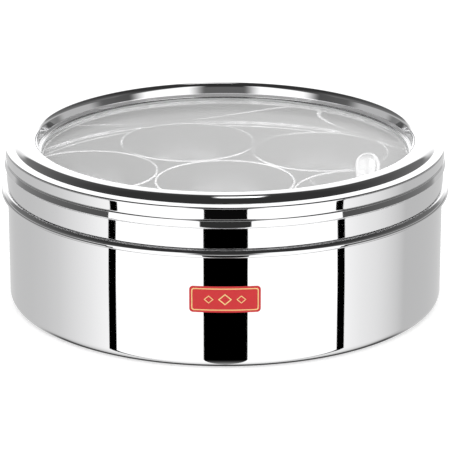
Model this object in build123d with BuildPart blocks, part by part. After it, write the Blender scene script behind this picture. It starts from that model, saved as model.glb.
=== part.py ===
"""Stainless steel spice box (masala dabba): a round box with a push-on see-through lid,
seven spice cups and a small spoon.  Millimetres, +Z up, origin at the centre of the base."""
import os
from math import cos, radians, sin

from build123d import *

os.makedirs("parts", exist_ok=True)

# ---------------------------------------------------------------- driving dimensions
BODY_R = 99.7             # outside of the box's straight wall
BODY_T = 0.6              # sheet of the box
BASE_CORNER_R = 4.2       # drawn corner between base and wall
BASE_RECESS = 0.8         # height of the raised centre of the base
BASE_RECESS_R = 91.5      # radius where the raised centre starts to slope down to the foot ring
BASE_SLOPE = 2.0          # width of that slope
FOOT_BEND_R = 1.5         # bends on both sides of that slope
BEAD_R = 102.5            # outside of the bead that the lid sits on
BEAD_BOTTOM = 51.0        # where the bead leaves the wall
BEAD_FACE = (51.4, 53.2)  # bottom and top of the bead's face
BEAD_LEAN = 0.15          # how far that face leans inwards
BEAD_BROW = (100.6, 54.5)   # where the bead's top turns level (radius, height)
BEAD_FOOT_R = 0.4
BEAD_LOWER_R = 0.7
BEAD_UPPER_R = 1.6
BEAD_BROW_R = 1.4
LEDGE_TOP = 54.55         # where the bead's top meets the neck
NECK_FOOT_R = 0.3
NECK_R = 99.2             # outside of the neck, inside the lid's skirt
NECK_TOP = 68.6

LID_T = 0.5               # sheet of the lid
SKIRT_R = 100.0           # outside of the lid's skirt
SKIRT_BOTTOM = 54.7       # just clear of the top of the box's bead
LID_BEAD_R = 100.9        # outside of the bead around the skirt
LID_BEAD_BOTTOM = 63.9
LID_BEAD_FACE = (64.25, 67.3)   # bottom and top of that bead's face
LID_BEAD_LEAN = 0.45      # how far the face leans inwards
LID_BEAD_TOP = 67.8
LID_BEAD_FOOT_R = 0.3
LID_BEAD_LOWER_R = 0.55
LID_BEAD_UPPER_R = 0.6
LID_BEAD_HEAD_R = 0.7
RIM = (100.4, 73.1)       # outer edge of the flange (radius, height)
RIM_BEND_R = 0.8
CREASE = (96.4, 73.55)    # where the flange meets the raised ring
CREASE_BEND_R = 0.4
CREST_OUTER_R = 93.2      # the raised ring's top before its two sides are rounded
CREST_INNER_R = 86.8
CREST_H = 76.44
DOME_R = 10.6             # broad rounding of the ring's outer side
BROW_R = 3.0              # tighter rounding of its inner side
WELL_KNEE = (85.0, 71.6)  # where that side turns upright around the window
WELL_KNEE_R = 2.0
WELL_FOOT = (84.95, 69.8)
LIP_BEND_R = 0.4
LIP_R = 83.9              # inside of the lip that holds the window down

SEAL_T = 0.4
SEAL_R = 83.5             # inside of the seal, it shows a little past the lip
WINDOW_T = 1.5
WINDOW_R = 85.3
WINDOW_EDGE = 0.2         # broken edge of the window
RETAINER_R = 83.2         # inside of the retaining ring's ledge
RETAINER_TOP = 71.0
RETAINER_BEND_R = 0.6
PRESS_GAP = 0.02          # line-to-line pieces of one assembly

CUP_T = 0.4               # sheet of a cup
CUP_RIM_R = 32.6
CUP_RIM_TOP = 53.9
CUP_RIM_H = 1.5           # height of the rolled rim
CUP_HEM = 0.48            # how far the rolled edge comes back in
CUP_CORNER_R = 5.6
CUP_ROLL_R = 0.5          # bends of the rolled rim
CUP_HEM_R = 0.45
CUP_BASE_R = 29.8         # inside, where wall and floor would meet without the corner
CUP_MOUTH_R = 31.25       # inside of the mouth
CUP_GAP = 0.3             # between the rims of neighbouring cups
CUP_REST_GAP = 0.05       # between a cup's base and the box's floor
FIRST_CUP_ANGLE = 106.0   # degrees from +X, the ring of six cups is turned by this much

SPOON_T = 0.8
SPOON_BOWL_R = 10.5
SPOON_BOWL_DEPTH = 3.6
SPOON_LENGTH = 72.6
SPOON_LEAN = 36.0         # degrees from upright, away from -Y
SPOON_TIP = (66.5, 17.7, 61.8)   # top end of the handle
HANDLE_TIP_W = 11.6
HANDLE_NECK_W = 5.6
HANDLE_BOW = 1.6          # how far the handle bows between its ends
HANDLE_NECK_AT = 0.8      # share of the handle's length where it is narrowest
HANDLE_ROOT_W = 6.8       # width where it runs into the bowl
HANDLE_OVERLAP = 1.5      # how far it runs into the bowl
HANDLE_TRIM = 1.0         # extra strip that the outline cuts off

LABEL_W = 30.6
LABEL_H = 11.8
LABEL_CORNER_R = 1.6
LABEL_T = 0.15
LABEL_Z = 31.9            # height of the label's middle

floor_top = BASE_RECESS + BODY_T
lip_bottom = WELL_FOOT[1] - LID_T
window_top = lip_bottom - SEAL_T
window_bottom = window_top - WINDOW_T


def save(part, name):
    """Label a finished piece and write it as parts/NAME.step."""
    part.label = name
    export_step(part, f"parts/{name}.step")


# ---------------------------------------------------------------- box
# Outer face of the sheet from the middle of the base to the top of the neck.
with BuildPart() as container_body:
    with BuildSketch(Plane.XZ):
        with BuildLine():
            FilletPolyline(
                (0, BASE_RECESS),
                (BASE_RECESS_R, BASE_RECESS),
                (BASE_RECESS_R + BASE_SLOPE, 0),
                (BODY_R, 0),
                (BODY_R, BEAD_BOTTOM),
                (BEAD_R, BEAD_FACE[0]),
                (BEAD_R - BEAD_LEAN, BEAD_FACE[1]),
                BEAD_BROW,
                (NECK_R, LEDGE_TOP),
                (NECK_R, NECK_TOP),
                radius=[
                    FOOT_BEND_R, FOOT_BEND_R, BASE_CORNER_R,
                    BEAD_FOOT_R, BEAD_LOWER_R, BEAD_UPPER_R, BEAD_BROW_R, NECK_FOOT_R,
                ],
            )
            offset(amount=BODY_T, side=Side.LEFT)
        make_face()
    revolve(axis=Axis.Z)
save(container_body.part, "container_body")

# ---------------------------------------------------------------- lid
# Outer face of the sheet from the skirt's bottom edge, over the raised ring, to the lip.
with BuildPart() as lid_ring:
    with BuildSketch(Plane.XZ):
        with BuildLine():
            FilletPolyline(
                (SKIRT_R, SKIRT_BOTTOM),
                (SKIRT_R, LID_BEAD_BOTTOM),
                (LID_BEAD_R, LID_BEAD_FACE[0]),
                (LID_BEAD_R - LID_BEAD_LEAN, LID_BEAD_FACE[1]),
                (SKIRT_R, LID_BEAD_TOP),
                RIM,
                CREASE,
                (CREST_OUTER_R, CREST_H),
                (CREST_INNER_R, CREST_H),
                WELL_KNEE,
                WELL_FOOT,
                (LIP_R, WELL_FOOT[1]),
                radius=[
                    LID_BEAD_FOOT_R, LID_BEAD_LOWER_R, LID_BEAD_UPPER_R, LID_BEAD_HEAD_R, RIM_BEND_R,
                    CREASE_BEND_R, DOME_R, BROW_R, WELL_KNEE_R, LIP_BEND_R,
                ],
            )
            offset(amount=LID_T, side=Side.LEFT)
        make_face()
    revolve(axis=Axis.Z)
save(lid_ring.part, "lid_ring")

with BuildPart() as window_seal:
    with BuildSketch(Plane.XY.offset(window_top)):
        Circle(WINDOW_R)
        Circle(SEAL_R, mode=Mode.SUBTRACT)
    extrude(amount=SEAL_T)
save(window_seal.part, "window_seal")

with BuildPart() as lid_window:
    with BuildSketch(Plane.XY.offset(window_bottom)):
        Circle(WINDOW_R)
    extrude(amount=WINDOW_T)
    chamfer(lid_window.edges(), length=WINDOW_EDGE)
save(lid_window.part, "lid_window")

# Ledge under the window and a band that grips the outside of the well's wall.
band_r = WELL_KNEE[0] + LID_T + PRESS_GAP + LID_T
ledge_bottom = window_bottom - LID_T
with BuildPart() as lid_retaining_ring:
    with BuildSketch(Plane.XZ):
        with BuildLine():
            FilletPolyline(
                (RETAINER_R, ledge_bottom),
                (band_r, ledge_bottom),
                (band_r, RETAINER_TOP),
                radius=RETAINER_BEND_R,
            )
            offset(amount=LID_T, side=Side.LEFT)
        make_face()
    revolve(axis=Axis.Z)
save(lid_retaining_ring.part, "lid_retaining_ring")

# ---------------------------------------------------------------- cups
# Inner face of the sheet from the middle of the floor, up the wall and round the rolled rim.
cup_floor = floor_top + CUP_REST_GAP + CUP_T
rim_foot = CUP_RIM_TOP - CUP_RIM_H
with BuildPart() as cup:
    with BuildSketch(Plane.XZ):
        with BuildLine():
            FilletPolyline(
                (0, cup_floor),
                (CUP_BASE_R, cup_floor),
                (CUP_MOUTH_R, CUP_RIM_TOP),
                (CUP_RIM_R, CUP_RIM_TOP),
                (CUP_RIM_R, rim_foot),
                (CUP_RIM_R - CUP_HEM, rim_foot),
                radius=[CUP_CORNER_R, CUP_ROLL_R, CUP_ROLL_R, CUP_HEM_R],
            )
            offset(amount=CUP_T, side=Side.RIGHT)
        make_face()
    revolve(axis=Axis.Z)

ring_r = 2 * CUP_RIM_R + CUP_GAP
ring_names = ["cup_back", "cup_left", "cup_front_left", "cup_front", "cup_right", "cup_back_right"]
cup_places = {"cup_centre": (0, 0)}
for step, name in enumerate(ring_names):
    angle = radians(FIRST_CUP_ANGLE + 60 * step)
    cup_places[name] = (ring_r * cos(angle), ring_r * sin(angle))

for name, place in cup_places.items():
    with BuildPart() as placed_cup:
        with Locations(place):
            add(cup.part)
    save(placed_cup.part, name)

# ---------------------------------------------------------------- spoon
# It leans back in the right-hand cup.  Along the spoon: 0 at the handle's end, SPOON_LENGTH at the bowl's.
lean = radians(SPOON_LEAN)
along = (0, -sin(lean), -cos(lean))
plan = Plane(origin=SPOON_TIP, x_dir=along, z_dir=(0, -cos(lean), sin(lean)))
profile = Plane(origin=SPOON_TIP, x_dir=along, z_dir=(-1, 0, 0))
bowl_at = SPOON_LENGTH - SPOON_BOWL_R
handle_end = bowl_at - SPOON_BOWL_R + HANDLE_OVERLAP
dish_r = (SPOON_BOWL_R**2 + SPOON_BOWL_DEPTH**2) / (2 * SPOON_BOWL_DEPTH)

with BuildPart() as spoon:
    # handle: a gently curved strip, cut to its outline
    with BuildSketch(profile):
        with BuildLine():
            ThreePointArc((-HANDLE_TRIM, 0), (handle_end / 2, -HANDLE_BOW), (handle_end, 0))
            offset(amount=SPOON_T, side=Side.RIGHT)
        make_face()
    extrude(amount=HANDLE_TIP_W, both=True)
    with BuildSketch(plan):
        with BuildLine():
            tip = HANDLE_TIP_W / 2
            neck = HANDLE_NECK_W / 2
            neck_at = handle_end * HANDLE_NECK_AT
            root = HANDLE_ROOT_W / 2
            ThreePointArc((tip, tip), (0, 0), (tip, -tip))
            Polyline(
                (tip, -tip), (neck_at, -neck), (handle_end, -root),
                (handle_end, root), (neck_at, neck), (tip, tip),
            )
        make_face()
    extrude(amount=HANDLE_TIP_W, both=True, mode=Mode.INTERSECT)
    # bowl: a round dish of the same sheet
    with BuildSketch(profile):
        with BuildLine():
            RadiusArc((bowl_at, -SPOON_BOWL_DEPTH), (bowl_at + SPOON_BOWL_R, 0), -dish_r)
            offset(amount=SPOON_T, side=Side.RIGHT)
        make_face()
    revolve(axis=Axis(plan.from_local_coords((bowl_at, 0, 0)), plan.z_dir))
save(spoon.part, "spoon")

# ---------------------------------------------------------------- label
label_r = BODY_R + PRESS_GAP
with BuildPart() as front_label:
    with BuildSketch(Plane.XY.offset(LABEL_Z - LABEL_H / 2)):
        Circle(label_r + LABEL_T)
        Circle(label_r, mode=Mode.SUBTRACT)
    extrude(amount=LABEL_H)
    with BuildSketch(Plane.XZ):
        with Locations((0, LABEL_Z)):
            RectangleRounded(LABEL_W, LABEL_H, LABEL_CORNER_R)
    extrude(amount=2 * BODY_R, mode=Mode.INTERSECT)
save(front_label.part, "front_label")
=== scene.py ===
"""Looks of the stainless steel spice box with a see-through lid: finely turned sheet-metal meshes,
materials, a plain studio and the camera.  Lengths are in millimetres until a mesh is made, and then in
metres.  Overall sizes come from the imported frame's boxes, and the rest are given below."""

from math import ceil, cos, exp, hypot, pi, radians, sin, sqrt, tan

import bmesh
import bpy
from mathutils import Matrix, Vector


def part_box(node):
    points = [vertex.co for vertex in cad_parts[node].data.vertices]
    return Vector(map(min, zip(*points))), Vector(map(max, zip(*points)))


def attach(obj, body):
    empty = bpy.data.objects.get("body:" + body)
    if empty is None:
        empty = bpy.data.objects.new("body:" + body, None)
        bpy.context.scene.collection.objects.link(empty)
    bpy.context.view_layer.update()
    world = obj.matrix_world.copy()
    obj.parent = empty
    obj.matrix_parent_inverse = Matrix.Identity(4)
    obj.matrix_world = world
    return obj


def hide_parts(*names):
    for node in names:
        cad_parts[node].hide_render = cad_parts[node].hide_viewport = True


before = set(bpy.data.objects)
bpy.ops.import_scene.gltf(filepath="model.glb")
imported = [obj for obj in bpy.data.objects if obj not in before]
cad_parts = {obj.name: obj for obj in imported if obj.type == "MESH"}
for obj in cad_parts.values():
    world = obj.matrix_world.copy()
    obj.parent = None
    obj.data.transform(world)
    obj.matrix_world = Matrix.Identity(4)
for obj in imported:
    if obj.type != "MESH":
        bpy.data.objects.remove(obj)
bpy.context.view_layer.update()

MM = 0.001                # metres in a millimetre
ARC_STEP = radians(5.0)   # turn between neighbouring points of a rounding
EDGE_LOOP = 0.12          # from a rounding to the extra loop that keeps the flat beside it flat
SEGMENTS = 336            # facets round a large piece
CUP_SEGMENTS = 192


# ---------------------------------------------------------------- sizes read from the frame
def round_size(node):
    """Centre, radius, lowest and highest point of a round node, in mm."""
    low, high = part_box(node)
    size = high - low
    centre = (low + high) / 2
    radius = min(size.x, size.y) / 2
    return (centre.x / MM, centre.y / MM), radius / MM, low.z / MM, high.z / MM


_, bead_r, base_z, neck_top = round_size("container_body")
_, lid_bead_r, skirt_bottom, lid_top = round_size("lid_ring")
_, window_r, window_bottom, window_top = round_size("lid_window")
_, seal_r, seal_bottom, seal_top = round_size("window_seal")
_, band_r, ledge_bottom, band_top = round_size("lid_retaining_ring")


# ---------------------------------------------------------------- meshes
def rounded(rows):
    """An outline as a list of (radius, height) points, from its corners given as (radius, height, rounding).
    A flat stretch gets an extra point near each end, so that shading stays flat along it."""
    corners = [Vector(row[:2]) for row in rows]
    radii = [row[2] for row in rows]
    turns = [pi - (a - b).angle(c - b) for a, b, c in zip(corners, corners[1:], corners[2:])]
    turns = [0.0, *turns, 0.0]
    cuts = [r * tan(turn / 2) for r, turn in zip(radii, turns)]
    line = [rows[0][:2]]
    for i in range(1, len(corners)):
        before, corner = corners[i - 1], corners[i]
        on = (corner - before).normalized()
        flat_from, flat_to = before + on * cuts[i - 1], corner - on * cuts[i]
        if (flat_to - flat_from).length > 3 * EDGE_LOOP:
            line += [tuple(flat_from + on * EDGE_LOOP), tuple(flat_to - on * EDGE_LOOP)]
        if i == len(corners) - 1:
            break
        away = (corners[i + 1] - corner).normalized()
        middle = corner + (away - on).normalized() * (radii[i] / cos(turns[i] / 2))
        arm = flat_to - middle
        side = 1 if on.cross(away) > 0 else -1
        steps = max(2, ceil(turns[i] / ARC_STEP))
        for a in (side * turns[i] * k / steps for k in range(steps + 1)):
            line.append((middle.x + arm.x * cos(a) - arm.y * sin(a),
                         middle.y + arm.x * sin(a) + arm.y * cos(a)))
    line.append(rows[-1][:2])
    return line


def shifted(line, distance):
    """The line moved sideways by a distance, to its left when the distance is positive."""
    moved = []
    for i, point in enumerate(line):
        before = Vector(line[max(i - 1, 0)])
        after = Vector(line[min(i + 1, len(line) - 1)])
        along = (after - before).normalized()
        moved.append((point[0] - along.y * distance, point[1] + along.x * distance))
    return moved


def sheet(line, thickness):
    """Closed section of a sheet whose shown face is the line.  The sheet lies to the line's left when the
    thickness is positive.  Its free edges are rounded, and reach half the thickness past the line's ends."""
    other = shifted(line, thickness)

    def cap(p, q):
        """Half circle from p to q, bulging away from the sheet."""
        p, q = Vector(p), Vector(q)
        middle, reach = (p + q) / 2, (p - q) / 2
        out = Vector((-reach.y, reach.x)) * (1 if thickness > 0 else -1)
        return [tuple(middle + reach * cos(a) + out * sin(a)) for a in (pi / 4, pi / 2, 3 * pi / 4)]

    section = list(line)
    if line[-1][0] > EDGE_LOOP:
        section += cap(line[-1], other[-1])
    section += other[::-1]
    if line[0][0] > EDGE_LOOP:
        section += cap(other[0], line[0])
    return section


def linked(name, mesh):
    """A new object in the scene that shows the mesh."""
    piece = bpy.data.objects.new(name, mesh)
    bpy.context.scene.collection.objects.link(piece)
    return piece


def turned(name, section, centre=(0, 0), segments=SEGMENTS):
    """A solid of revolution from a closed section of (radius, height) points, in mm."""
    mesh = bpy.data.meshes.new(name)
    bm = bmesh.new()
    rings = []
    for r, z in section:
        if r < EDGE_LOOP:
            rings.append([bm.verts.new((centre[0] * MM, centre[1] * MM, z * MM))] * segments)
        else:
            rings.append([bm.verts.new(((centre[0] + r * cos(a)) * MM, (centre[1] + r * sin(a)) * MM, z * MM))
                          for a in (2 * pi * k / segments for k in range(segments))])
    for one, two in zip(rings, rings[1:] + rings[:1]):
        for k in range(segments):
            n = (k + 1) % segments
            corners = list(dict.fromkeys((one[k], one[n], two[n], two[k])))
            if len(corners) > 2:
                bm.faces.new(corners)
    bmesh.ops.recalc_face_normals(bm, faces=bm.faces)
    for face in bm.faces:
        face.smooth = True
    bm.to_mesh(mesh)
    bm.free()
    return linked(name, mesh)


def mesh_piece(name, points, faces):
    """A smooth piece from points in mm."""
    mesh = bpy.data.meshes.new(name)
    mesh.from_pydata([(x * MM, y * MM, z * MM) for x, y, z in points], [], faces)
    mesh.update()
    bm = bmesh.new()
    bm.from_mesh(mesh)
    bmesh.ops.recalc_face_normals(bm, faces=bm.faces)
    bm.to_mesh(mesh)
    bm.free()
    mesh.shade_smooth()
    return linked(name, mesh)


def place(piece, body, slot, material, *nodes):
    """Gives a piece its material and its body, and hides the CAD nodes it stands for.  The slot is not used.
    """
    piece.data.materials.append(material)
    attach(piece, body)
    if nodes:
        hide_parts(*nodes)


# ---------------------------------------------------------------- node trees
class Nodes:
    """Short calls that build a node tree."""

    def __init__(self, tree):
        self.tree = tree
        tree.nodes.clear()

    def add(self, kind, inputs=(), **settings):
        """A new node with its inputs linked or set."""
        node = self.tree.nodes.new(kind)
        for key, value in settings.items():
            setattr(node, key, value)
        for socket, value in dict(inputs).items():
            if isinstance(value, bpy.types.NodeSocket):
                self.tree.links.new(value, node.inputs[socket])
            else:
                node.inputs[socket].default_value = value
        return node

    def math(self, operation, *values):
        return self.add("ShaderNodeMath", enumerate(values), operation=operation).outputs[0]

    def times(self, *values):
        """The product of two or more numbers."""
        result = values[0]
        for value in values[1:]:
            result = self.math("MULTIPLY", result, value)
        return result

    def away(self, value, centre):
        """Distance of a value from a centre."""
        return self.math("ABSOLUTE", self.math("SUBTRACT", value, centre))

    def noise(self, where, scale, detail=3.0):
        """Fine noise between 0 and 1."""
        return self.add("ShaderNodeTexNoise", {"Vector": where, "Scale": scale, "Detail": detail}).outputs[0]

    def mix(self, factor, one, two):
        """A number between one and two."""
        return self.add("ShaderNodeMix", {0: factor, 2: one, 3: two}, data_type="FLOAT").outputs[0]

    def step(self, value, start, end):
        """Smooth change from 0 at start to 1 at end."""
        return self.add("ShaderNodeMapRange", {0: value, 1: start, 2: end, 3: 0.0, 4: 1.0},
                        interpolation_type="SMOOTHSTEP").outputs[0]

    def ramp(self, value, stops):
        """Grey ramp; stops are (position, level)."""
        node = self.add("ShaderNodeValToRGB", {0: value})
        ramp = node.color_ramp
        while len(ramp.elements) > 1:
            ramp.elements.remove(ramp.elements[-1])
        for k, (position, level) in enumerate(stops):
            element = ramp.elements[0] if k == 0 else ramp.elements.new(position)
            element.position = position
            element.color = (level, level, level, 1)
        return node.outputs[0]


# ---------------------------------------------------------------- materials
LINE_SCALE = 9000.0       # fineness of the polishing lines
LINE_DEPTH = 0.00002      # m
LINE_DRIFT = 0.02         # how fast a line changes along its length, next to across it
PATCH_SCALE = 38.0        # of the duller patches in the polish
REFLECTION = 0.3          # share of a clear plastic's own reflection that the window shows
HAZE = 0.43               # of the window, at its middle
HAZE_MOTTLE = 0.04        # how much of it comes and goes in soft patches
HAZE_SCALE = 25.0         # of those patches
# painted light: the haze thickens to the right so the window looks brighter there, as if lit from that side
PAINTED_LIGHT_ACROSS = 0.6         # gain of haze per metre to the right
SPECKLE_SCALE = 400.0     # of paper and rubber


def new_material(name):
    """A material, the calls that build its nodes, and the place on the piece."""
    material = bpy.data.materials.new(name)
    material.use_nodes = True
    n = Nodes(material.node_tree)
    return material, n, n.add("ShaderNodeTexCoord").outputs["Object"]


def polished_steel(name, tint, roughness, grain):
    """Mirror-polished stainless steel: faint polishing lines that run round the piece, and soft patches
    where the polish is a little duller."""
    material, n, where = new_material(name)
    x, y, z = n.add("ShaderNodeSeparateXYZ", {0: where}).outputs
    radius = n.math("SQRT", n.math("ADD", n.times(x, x), n.times(y, y)))
    along = n.math("MULTIPLY", x, LINE_DRIFT)
    lines_at = n.add("ShaderNodeCombineXYZ", {0: radius, 1: z, 2: along}).outputs[0]
    lines = n.noise(lines_at, LINE_SCALE, 2.0)
    patches = n.noise(where, PATCH_SCALE)
    bump = n.add("ShaderNodeBump", {"Strength": grain, "Distance": LINE_DEPTH, "Height": lines}).outputs[0]
    shader = n.add("ShaderNodeBsdfPrincipled", {
        "Base Color": (*tint, 1), "Metallic": 1.0, "Normal": bump,
        "Roughness": n.math("MULTIPLY_ADD", patches, roughness, roughness / 2)})
    n.add("ShaderNodeOutputMaterial", {0: shader.outputs[0]})
    return material


def clear_plastic():
    """Clear window: what is behind it shows sharply through a haze, and its outside reflects softly.
    The haze grows towards the right as painted light, so the window looks lit brighter on that side."""
    material, n, where = new_material("clear_plastic")
    patches = n.noise(where, HAZE_SCALE)
    outside = n.math("SUBTRACT", 1.0, n.add("ShaderNodeNewGeometry").outputs["Backfacing"])
    fresnel = n.add("ShaderNodeFresnel", {"IOR": 1.49}).outputs[0]
    share = n.times(outside, fresnel, REFLECTION)
    clear = n.add("ShaderNodeBsdfTransparent", {"Color": (0.97, 0.97, 0.97, 1)}).outputs[0]
    gloss = n.add("ShaderNodeBsdfGlossy", {
        "Color": (1, 1, 1, 1), "Roughness": n.math("MULTIPLY_ADD", patches, 0.1, 0.1)}).outputs[0]
    haze = n.add("ShaderNodeBsdfDiffuse", {"Color": (0.9, 0.9, 0.9, 1)}).outputs[0]
    across = n.add("ShaderNodeSeparateXYZ", {0: where}).outputs[0]
    # painted light: haze that grows to the right stands in for brighter light on that side; the soft patches
    # are the film's own haze
    haze_and_painted_light = n.math("MULTIPLY_ADD", across, PAINTED_LIGHT_ACROSS, n.math("MULTIPLY_ADD", patches, HAZE_MOTTLE, HAZE))
    hazy = n.add("ShaderNodeMixShader", {0: n.times(outside, haze_and_painted_light), 1: clear, 2: haze}).outputs[0]
    shader = n.add("ShaderNodeMixShader", {0: share, 1: hazy, 2: gloss})
    n.add("ShaderNodeOutputMaterial", {0: shader.outputs[0]})
    return material


def plain(name, colour, roughness, mottle=0.08):
    """Paper, rubber or floor: a colour with fine mottling."""
    material, n, where = new_material(name)
    speckle = n.noise(where, SPECKLE_SCALE)
    darker, lighter = ((*[c * part for c in colour], 1) for part in (1 - mottle, 1 + mottle))
    shade = n.add("ShaderNodeMix", {0: speckle, 6: darker, 7: lighter}, data_type="RGBA").outputs[2]
    shader = n.add("ShaderNodeBsdfPrincipled", {
        "Base Color": shade, "Roughness": n.math("MULTIPLY_ADD", speckle, 0.1, roughness)})
    n.add("ShaderNodeOutputMaterial", {0: shader.outputs[0]})
    return material


box_steel = polished_steel("box_steel", (0.62, 0.62, 0.625), 0.02, 0.02)
lid_steel = polished_steel("lid_steel", (0.62, 0.62, 0.625), 0.03, 0.02)
cup_steel = polished_steel("cup_steel", (0.72, 0.72, 0.725), 0.06, 0.05)
spoon_steel = polished_steel("spoon_steel", (0.66, 0.66, 0.665), 0.06, 0.0)
window_plastic = clear_plastic()
seal_rubber = plain("seal_rubber", (0.55, 0.56, 0.56), 0.5)
label_red = plain("label_red", (0.52, 0.010, 0.014), 0.5)
label_gold = plain("label_gold", (0.80, 0.55, 0.22), 0.35)

# ---------------------------------------------------------------- box
# Every outline below is a list of corners: (radius, height, rounding).
BOX_T = 0.6
BASE_RISE = 0.8                       # raised middle of the base
body_r = bead_r - 2.75
neck_r = bead_r - 3.25
bead_corner = bead_r + 0.05           # before rounding
body_line = rounded([
    (0, base_z + BASE_RISE, 0),
    (body_r - 8.2, base_z + BASE_RISE, 1.5),          # slope down to the foot
    (body_r - 6.2, base_z, 1.5),
    (body_r, base_z, 4.2),                            # corner between the base and the wall
    (body_r, 51.0, 0.4),                              # bead
    (bead_corner, 51.4, 0.7),
    (bead_corner - 0.15, 53.2, 1.6),
    (bead_corner - 1.9, 54.5, 1.4),
    (neck_r, 54.55, 0.3),                             # neck, inside the lid's skirt
    (neck_r, neck_top - BOX_T / 2, 0)])
place(turned("box_shell", sheet(body_line, BOX_T)), "box", "steel_box", box_steel, "container_body")

# ---------------------------------------------------------------- lid
LID_T = 0.5
skirt_r = lid_bead_r - 0.84
rim_r = lid_bead_r - 0.44
lid_corner = lid_bead_r + 0.06        # before rounding
ring_line = rounded([
    (skirt_r, skirt_bottom + LID_T / 2, 0),           # skirt
    (skirt_r, 63.9, 0.3),                             # bead
    (lid_corner, 64.25, 0.55),
    (lid_corner - 0.45, 67.3, 0.6),
    (skirt_r, 67.8, 0.7),
    (rim_r, 73.1, 0.8),                               # rim at the foot of the raised ring
    (96.4, 73.55, 0.4),
    (93.2, lid_top, 10.6),                            # raised ring
    (86.8, lid_top, 3.0),
    (85.0, 71.6, 2.0),                                # wall down to the window
    (84.95, 69.8, 0.4),                               # lip over the window's edge
    (83.9 + LID_T / 2, 69.8, 0)])
place(turned("lid_frame", sheet(ring_line, LID_T)), "lid", "steel_lid", lid_steel, "lid_ring")

LEDGE = 2.82                          # how far the keeper reaches in under the window
keeper_line = rounded([
    (band_r - LEDGE + LID_T / 2, ledge_bottom, 0),
    (band_r, ledge_bottom, 0.6),
    (band_r, band_top - LID_T / 2, 0)])
place(turned("window_keeper", sheet(keeper_line, LID_T)), "lid", "steel_lid", lid_steel, "lid_retaining_ring")

WINDOW_EDGE = 0.2                     # chamfer
window_face_r = window_r - WINDOW_EDGE
window_section = [
    (0, window_bottom), (window_face_r - EDGE_LOOP, window_bottom), (window_face_r, window_bottom),
    (window_r, window_bottom + WINDOW_EDGE), (window_r, window_top - WINDOW_EDGE),
    (window_face_r, window_top), (window_face_r - EDGE_LOOP, window_top), (0, window_top)]
place(turned("window", window_section), "lid", "clear_plastic", window_plastic, "lid_window")

SEAL_WIDTH = 1.8
seal_inner = seal_r - SEAL_WIDTH
seal_section = [(seal_inner, seal_bottom), (seal_r, seal_bottom), (seal_r, seal_top), (seal_inner, seal_top)]
place(turned("seal", seal_section), "lid", "seal", seal_rubber, "window_seal")

# ---------------------------------------------------------------- cups
CUPS = ["cup_centre", "cup_back", "cup_left", "cup_front_left", "cup_front", "cup_right", "cup_back_right"]
CUP_T = 0.4
CUP_TAPER = 2.8                       # from the rim's radius to the wall's at the floor
RIM_WIDTH, RIM_DEPTH = 1.35, 1.5      # of the rolled rim
RIM_RETURN = 0.48                     # how far the rolled rim turns back in
for cup in CUPS:
    cup_at, rim_radius, cup_bottom, rim_top = round_size(cup)
    floor_z = cup_bottom + CUP_T
    cup_line = rounded([
        (0, floor_z, 0),
        (rim_radius - CUP_TAPER, floor_z, 5.6),
        (rim_radius - RIM_WIDTH, rim_top, 0.5),
        (rim_radius, rim_top, 0.5),
        (rim_radius, rim_top - RIM_DEPTH, 0.45),
        (rim_radius - RIM_RETURN, rim_top - RIM_DEPTH, 0)])
    shell = turned(cup + "_shell", sheet(cup_line, -CUP_T), cup_at, CUP_SEGMENTS)
    place(shell, cup, "steel_cup", cup_steel, cup)

# ---------------------------------------------------------------- spoon
SPOON_LENGTH, SPOON_T = 72.6, 0.8
LEAN = radians(36.0)
HANDLE_END = (17.7, 61.8)             # y and z of the handle's upper end
BOWL_R, BOWL_DEPTH = 10.5, 3.6
TIP_W, NECK_W = 5.8, 2.8              # half widths of the handle
HANDLE_OVERLAP = 1.5                  # of the handle's bow and the bowl
HANDLE_RUN_IN = 2.0                   # how much further the handle's edges run into the bowl
NECK_AT = 0.8                         # place of the narrow neck along the handle
BOW = 1.6                             # how far the handle sinks below the line from end to end
CROWN = 0.01                          # fall from the handle's middle to its edges, per mm squared
END_GAP = 0.02                        # from the spoon's ends to the first and last cross-section
GROOVE_IN, GROOVE_W, GROOVE_DEPTH = 1.5, 0.5, 0.3     # pressed line inside the handle's edge
SIDE_BULGE = 0.2                      # of the spoon's edge
ROWS, COLUMNS = 180, 40               # of the spoon's mesh
spoon_low, spoon_high = (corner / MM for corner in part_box("spoon"))
spoon_x = (spoon_low.x + spoon_high.x) / 2
bowl_at = SPOON_LENGTH - BOWL_R
handle_length = bowl_at - BOWL_R + HANDLE_OVERLAP
neck_at = NECK_AT * handle_length
dish_r = (BOWL_R ** 2 + BOWL_DEPTH ** 2) / (2 * BOWL_DEPTH)


def half_width(s):
    """Half the spoon's width at s mm from the handle's end."""
    tip = sqrt(max(0.0, TIP_W ** 2 - (TIP_W - min(s, TIP_W)) ** 2))
    taper = TIP_W + (NECK_W - TIP_W) * min(1.0, max(0.0, (s - TIP_W) / (neck_at - TIP_W)))
    handle = min(tip, taper) if s < handle_length + HANDLE_RUN_IN else 0.0
    bowl = sqrt(max(0.0, BOWL_R ** 2 - (s - bowl_at) ** 2))
    return max(handle, bowl)


def face_height(s, u):
    """Height of the spoon's upper face above the straight line from end to end."""
    reach = hypot(s - bowl_at, u)
    if reach < BOWL_R:
        return dish_r - BOWL_DEPTH - sqrt(dish_r ** 2 - reach ** 2)
    from_edge = TIP_W - hypot(s - TIP_W, u) if s < TIP_W else half_width(s) - abs(u)
    groove = GROOVE_DEPTH * exp(-((from_edge - GROOVE_IN) / GROOVE_W) ** 2) if s < neck_at else 0.0
    middle = handle_length / 2
    return -BOW * max(0.0, 1 - ((s - middle) / middle) ** 2) - groove - CROWN * u * u


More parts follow.
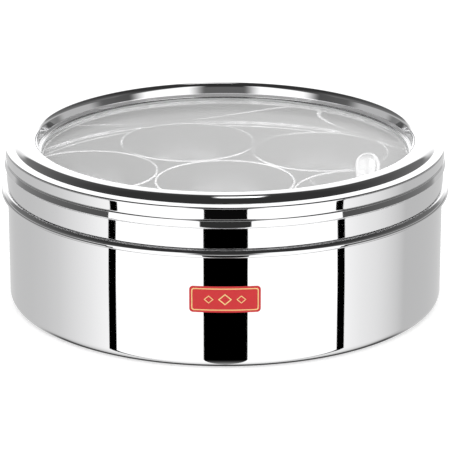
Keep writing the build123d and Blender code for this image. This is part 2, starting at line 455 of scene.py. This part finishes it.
def spoon_mesh():
    """Closed sheet of the spoon: a loop of points round every cross-section."""
    end_y, end_z = HANDLE_END
    points, faces = [], []
    for i in range(ROWS + 1):
        s = END_GAP + (SPOON_LENGTH - 2 * END_GAP) * (1 - cos(pi * i / ROWS)) / 2
        w = half_width(s)
        across = [w * sin(pi / 2 * (2 * j / COLUMNS - 1)) for j in range(COLUMNS + 1)]
        edge_height = face_height(s, w) - SPOON_T / 2
        loop = [(u, face_height(s, u)) for u in across] + [(w + SIDE_BULGE, edge_height)]
        loop += [(u, face_height(s, u) - SPOON_T) for u in across[::-1]] + [(-w - SIDE_BULGE, edge_height)]
        for u, h in loop:
            points.append((spoon_x + u, end_y - s * sin(LEAN) - h * cos(LEAN),
                           end_z - s * cos(LEAN) + h * sin(LEAN)))
    size = 2 * COLUMNS + 4
    for i in range(ROWS):
        for j in range(size):
            k = (j + 1) % size
            faces.append((i * size + j, i * size + k, (i + 1) * size + k, (i + 1) * size + j))
    faces += [tuple(range(size)), tuple(ROWS * size + j for j in range(size))]
    return mesh_piece("spoon_sheet", points, faces)


place(spoon_mesh(), "spoon", "steel_spoon", spoon_steel, "spoon")

# ---------------------------------------------------------------- label
FILM = (0.02, 0.12)                   # the film's two faces, out from the box's wall
PRINT = (0.1, 0.15)                   # the same for what is printed on it
FILM_LOOPS = (1, 0.995, 0.97, 0.85, 0.7, 0.5, 0.3, 0.1, 0.01)         # scales of the film's edge, inwards
LOZENGE_W, LOZENGE_H = 3.0, 2.6       # half sizes of the middle lozenge
LOZENGE_LINE = 0.75                   # scale of its inner edge
LOZENGES = [(-7.0, 0.7), (0.0, 1.0), (7.0, 0.7)]      # (place across, scale)
DIAMOND = [(1, 0), (0.5, 0.5), (0, 1), (-0.5, 0.5), (-1, 0), (-0.5, -0.5), (0, -1), (0.5, -0.5)]
label_low, label_high = (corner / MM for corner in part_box("front_label"))
label_mid = (label_low.z + label_high.z) / 2
label_w, label_h = label_high.x - label_low.x, label_high.z - label_low.z


def outline(inset, corner, steps=8, spans=12):
    """Rounded rectangle inside the label's edge, as (across, up) points."""
    w, h = label_w / 2 - inset, label_h / 2 - inset
    line = []
    for quarter, (sx, sz) in enumerate(((1, 1), (-1, 1), (-1, -1), (1, -1))):
        for k in range(steps + 1):
            a = pi / 2 * (quarter + k / steps)
            line.append((sx * (w - corner) + corner * cos(a), sz * (h - corner) + corner * sin(a)))
        if quarter in (0, 2):
            line += [(sx * (w - corner) * (1 - 2 * k / spans), sz * h) for k in range(1, spans)]
    return line


def wrapped(name, loops, faces_at):
    """A thin film on the box's wall between the first and the last loop of (across, up) points.  Its two
    faces lie at the given distances out from the wall."""
    low_r, high_r = (body_r + out for out in faces_at)
    shell = [[(x, -sqrt(r * r - x * x), label_mid + z) for x, z in loop]
             for r, each in ((high_r, loops), (low_r, loops[::-1])) for loop in each]
    size = len(loops[0])
    points = [p for loop in shell for p in loop]
    faces = [(i * size + j, i * size + (j + 1) % size, k * size + (j + 1) % size, k * size + j)
             for i, k in zip(range(len(shell)), [*range(1, len(shell)), 0]) for j in range(size)]
    return mesh_piece(name, points, faces)


film_edge = outline(0.0, 1.6)
film = [[(x * share, z * share) for x, z in film_edge] for share in FILM_LOOPS]
place(wrapped("label_film", film, FILM), "box", "label", label_red, "front_label")
border = [outline(0.9, 1.0), outline(1.35, 0.8)]
place(wrapped("label_border", border, PRINT), "box", "label", label_gold)
for k, (at, scale) in enumerate(LOZENGES, 1):
    lozenge = [[(at + LOZENGE_W * scale * share * x, LOZENGE_H * scale * share * z) for x, z in DIAMOND]
               for share in (1.0, LOZENGE_LINE)]
    place(wrapped(f"label_lozenge_{k}", lozenge, PRINT), "box", "label", label_gold)

# ---------------------------------------------------------------- studio
# Directions are in degrees: azimuth to the right of the front, elevation above the horizon.  A pair in
# brackets that is passed to a step says where its change starts and ends.
WHITE = 1.75                          # level of a white panel
CEILING = 0.045                       # dark ceiling over the front
STRIP, STRIP_SIDE = 1.3, 0.7          # narrow light strip just above the horizon, and towards the sides
GAP_LEVEL, GAP_GLOW = 0.045, 0.15     # dark gap between the white panels, and what its middle adds
FLOOR_LEVEL = 0.85
SHADOW = 0.08                         # the box's shadow on the floor
SOFT_LIGHT = 1.15                     # even light on everything that isn't polished
BACKDROP = 1.05
LAMP = 3.0
LAMP_AT = (0.045, 0.49)               # x/z and y/z of the lamp's direction
LAMP_EDGES = ((0.09, 0.05), (0.11, 0.08))             # its soft edges in x/z and y/z
INDOORS, STRIPE = 1.6, 2.4            # level between the stripes indoors, and what a stripe adds
INDOORS_OVERHEAD = 0.35               # share of that level overhead
STRIPE_SCALE = 0.12
WALLS = [                 # (azimuth, level) of the grey walls, low down
    (-180, 0.74), (-147, 0.74), (-125, 0.80), (-110, 0.87), (-98, 0.96), (-87, 1.11), (-77, 1.25),
    (-68, 1.39), (-60, 1.5), (60, 1.5), (67, 1.41), (76, 1.29), (86, 1.19), (91, 1.12), (97, 1.02),
    (103, 0.91), (109, 0.765), (144, 0.75), (180, 0.74)]
UPPER = [                 # the same, above the horizon
    (-180, WHITE), (-157, WHITE), (-146, 0.40), (-125, 0.30), (-100, 0.20), (-62, 0.12), (62, 0.12),
    (100, 0.20), (125, 0.30), (146, 0.40), (157, WHITE), (180, WHITE)]
OVERHEAD = [              # (elevation, level) of the ceiling away from the front
    (-90, 0.42), (0, 0.42), (10, 0.35), (20, 0.27), (30, 0.20), (40, 0.13), (50, 0.08), (60, 0.05),
    (90, 0.045)]
GROUND = [                # (elevation, share of floor)
    (-90, 0.8), (-80, 0.6), (-63, 0.3), (-48, 0.11), (-34, 0.03), (-25, 0.0)]
CEILING_FROM_FRONT, CEILING_FROM_BACK, CEILING_FROM_SIDE = 50.0, 46.0, 20.0
HORIZON = (-15.0, -10.0)
HORIZON_LIFT = 8.0                    # how much higher the horizon lies behind the object
PANELS_AT = 0.3                       # middle of the gap between the white panels
GAP_LOW, GAP_HIGH = 11.4, 19.0        # half its width, low down and high up
REACH_LOW, REACH_HIGH = 60.5, 30.0    # from its middle to the panels' outer edges
BLUR_LOW, BLUR_HIGH = 0.15, 7.0       # half the width of the panels' soft edges
BARS_AT, BAR_REACH, BAR_BEND = 1.0, 62.0, 1.6         # middle of the two bars, their distance, their bend
BAR_EDGE = (2.4, 2.1)                 # half a bar's width, with its soft edge


def studio():
    """World seen in the steel as white panels, black bars and grey walls round the object, and plain white
    otherwise."""
    world = bpy.data.worlds.new("studio")
    bpy.context.scene.world = world
    world.use_nodes = True
    n = Nodes(world.node_tree)
    x, y, z = n.add("ShaderNodeSeparateXYZ", {0: n.add("ShaderNodeTexCoord").outputs["Generated"]}).outputs
    azimuth = n.math("MULTIPLY", n.math("ARCTAN2", x, n.math("MULTIPLY", y, -1.0)), 180 / pi)
    elevation = n.math("MULTIPLY", n.math("ARCSINE", z), 180 / pi)
    turn = n.math("MULTIPLY_ADD", azimuth, 1 / 360, 0.5)
    height = n.math("MULTIPLY_ADD", elevation, 1 / 180, 0.5)

    def around(pairs):
        """Level by azimuth."""
        top = max(level for _, level in pairs)
        return n.math("MULTIPLY", n.ramp(turn, [(a / 360 + 0.5, level / top) for a, level in pairs]), top)

    def upwards(pairs):
        """Level by elevation."""
        return n.ramp(height, [(el / 180 + 0.5, level) for el, level in pairs])

    off_front = n.away(azimuth, 0.0)

    # grey walls, lighter to the sides, with a white panel behind the object from the horizon up
    behind = n.step(off_front, 130.0, 150.0)
    from_horizon = n.math("ADD", elevation, n.math("MULTIPLY", behind, -HORIZON_LIFT))
    level = n.mix(n.step(from_horizon, *HORIZON), around(WALLS), around(UPPER))

    # ceiling: dark, starting higher over the front and the back
    front = n.step(off_front, 75.0, 62.0)
    back = n.step(off_front, 150.0, 165.0)
    ceiling_from = n.mix(front, n.mix(back, CEILING_FROM_SIDE, CEILING_FROM_BACK), CEILING_FROM_FRONT)
    over = n.mix(front, upwards(OVERHEAD), CEILING)
    above = n.step(n.math("SUBTRACT", elevation, ceiling_from), -3.0, 3.0)

    # two white panels at the front, narrower towards their tops, with a dark gap between them
    off_gap = n.away(azimuth, PANELS_AT)
    gap = n.mix(n.step(elevation, -8.0, 15.0), GAP_LOW, GAP_HIGH)
    reach = n.mix(n.step(elevation, 12.0, 56.0), REACH_LOW, REACH_HIGH)
    blur = n.mix(n.step(elevation, -5.0, 25.0), BLUR_LOW, BLUR_HIGH)
    outside_gap = n.step(n.math("DIVIDE", n.math("SUBTRACT", off_gap, gap), blur), -1.0, 1.0)
    inside_reach = n.step(n.math("DIVIDE", n.math("SUBTRACT", reach, off_gap), blur), -1.0, 1.0)
    half_up = n.times(n.step(elevation, 3.0, 16.0), n.step(elevation, 45.0, 20.0))
    in_gap = n.times(n.step(elevation, -12.0, -8.0), n.math("MULTIPLY_ADD", half_up, GAP_GLOW, GAP_LEVEL))
    level = n.mix(outside_gap, in_gap, n.mix(inside_reach, level, WHITE))

    # a light strip along the horizon
    strip = n.times(n.step(elevation, 4.0, 7.0), n.step(elevation, 16.0, 13.0))
    strip_level = n.mix(n.step(off_front, 70.0, 85.0), STRIP, STRIP_SIDE)
    level = n.mix(strip, level, n.math("MAXIMUM", level, strip_level))

    # a black bar beyond each panel, bent outwards towards its foot
    bend = n.math("MULTIPLY", n.step(elevation, -20.0, -16.5), BAR_BEND)
    off_bars = n.math("SUBTRACT", n.away(azimuth, BARS_AT), BAR_REACH)
    from_bar = n.math("ABSOLUTE", n.math("ADD", off_bars, bend))
    level = n.mix(n.times(n.step(from_bar, *BAR_EDGE), n.step(elevation, -6.0, -12.0)), level, 0.0)
    level = n.mix(above, level, over)

    # a small lamp overhead
    in_x, in_y = (n.step(n.away(n.math("DIVIDE", along, z), at), *soft)
                  for along, at, soft in zip((x, y), LAMP_AT, LAMP_EDGES))
    lamp = n.times(in_x, in_y, n.step(z, 0.0, 0.05))
    level = n.mix(lamp, level, LAMP)

    # the floor, and the box's shadow on it behind the box
    shadow = n.times(n.step(off_front, 90.0, 130.0), n.step(elevation, -28.0, -45.0))
    level = n.mix(n.math("MAXIMUM", upwards(GROUND), shadow), level, n.mix(shadow, FLOOR_LEVEL, SHADOW))

    # steel under the window and deep inside the box gets a brighter surrounding, with soft upright stripes
    path = n.add("ShaderNodeLightPath").outputs
    stripes_at = n.add("ShaderNodeCombineXYZ", {0: azimuth}).outputs[0]
    stripes = n.noise(stripes_at, STRIPE_SCALE, 2.0)
    indoors = n.math("MULTIPLY_ADD", n.step(stripes, 0.4, 0.6), STRIPE, INDOORS)
    indoors = n.times(indoors, n.mix(n.step(elevation, 50.0, 66.0), 1.0, INDOORS_OVERHEAD))
    under_window = n.step(path["Transparent Depth"], 0.0, 1.0)
    deep = n.step(path["Glossy Depth"], 2.2, 2.8)
    level = n.mix(n.math("MAXIMUM", under_window, deep), level, indoors)

    level = n.mix(path["Is Diffuse Ray"], level, SOFT_LIGHT)
    level = n.mix(path["Is Camera Ray"], level, BACKDROP)
    background = n.add("ShaderNodeBackground", {"Color": (1, 1, 1, 1), "Strength": level})
    n.add("ShaderNodeOutputWorld", {0: background.outputs[0]})


studio()

# ---------------------------------------------------------------- floor
FLOOR_SIZE = 12                       # m
FLOOR_GLOW = 0.35                     # keeps the floor near white beside the box
bpy.ops.mesh.primitive_plane_add(size=FLOOR_SIZE)
floor = bpy.context.object
floor.name = "floor"
floor_material = plain("floor", (0.9, 0.9, 0.9), 0.8, mottle=0.0)
floor_shader = next(k for k in floor_material.node_tree.nodes if k.type == "BSDF_PRINCIPLED")
floor_shader.inputs["Emission Color"].default_value = (1, 1, 1, 1)
floor_shader.inputs["Emission Strength"].default_value = FLOOR_GLOW
floor.data.materials.append(floor_material)
floor.visible_glossy = False

# ---------------------------------------------------------------- camera
TARGET_Z = 32.15
DISTANCE = 1.2                        # m
CAMERA_EL = radians(18.46)
camera = bpy.data.objects.new("camera", bpy.data.cameras.new("camera"))
camera.data.lens = 207.4
camera.data.sensor_width = 36
camera.data.clip_start, camera.data.clip_end = 0.05, 50
camera.location = Vector((0, 0, TARGET_Z)) * MM + DISTANCE * Vector((0, -cos(CAMERA_EL), sin(CAMERA_EL)))
camera.rotation_euler = (pi / 2 - CAMERA_EL, 0, 0)
bpy.context.scene.collection.objects.link(camera)
bpy.context.scene.camera = camera

view = bpy.context.scene.view_settings
view.view_transform = "Standard"
view.look = "None"
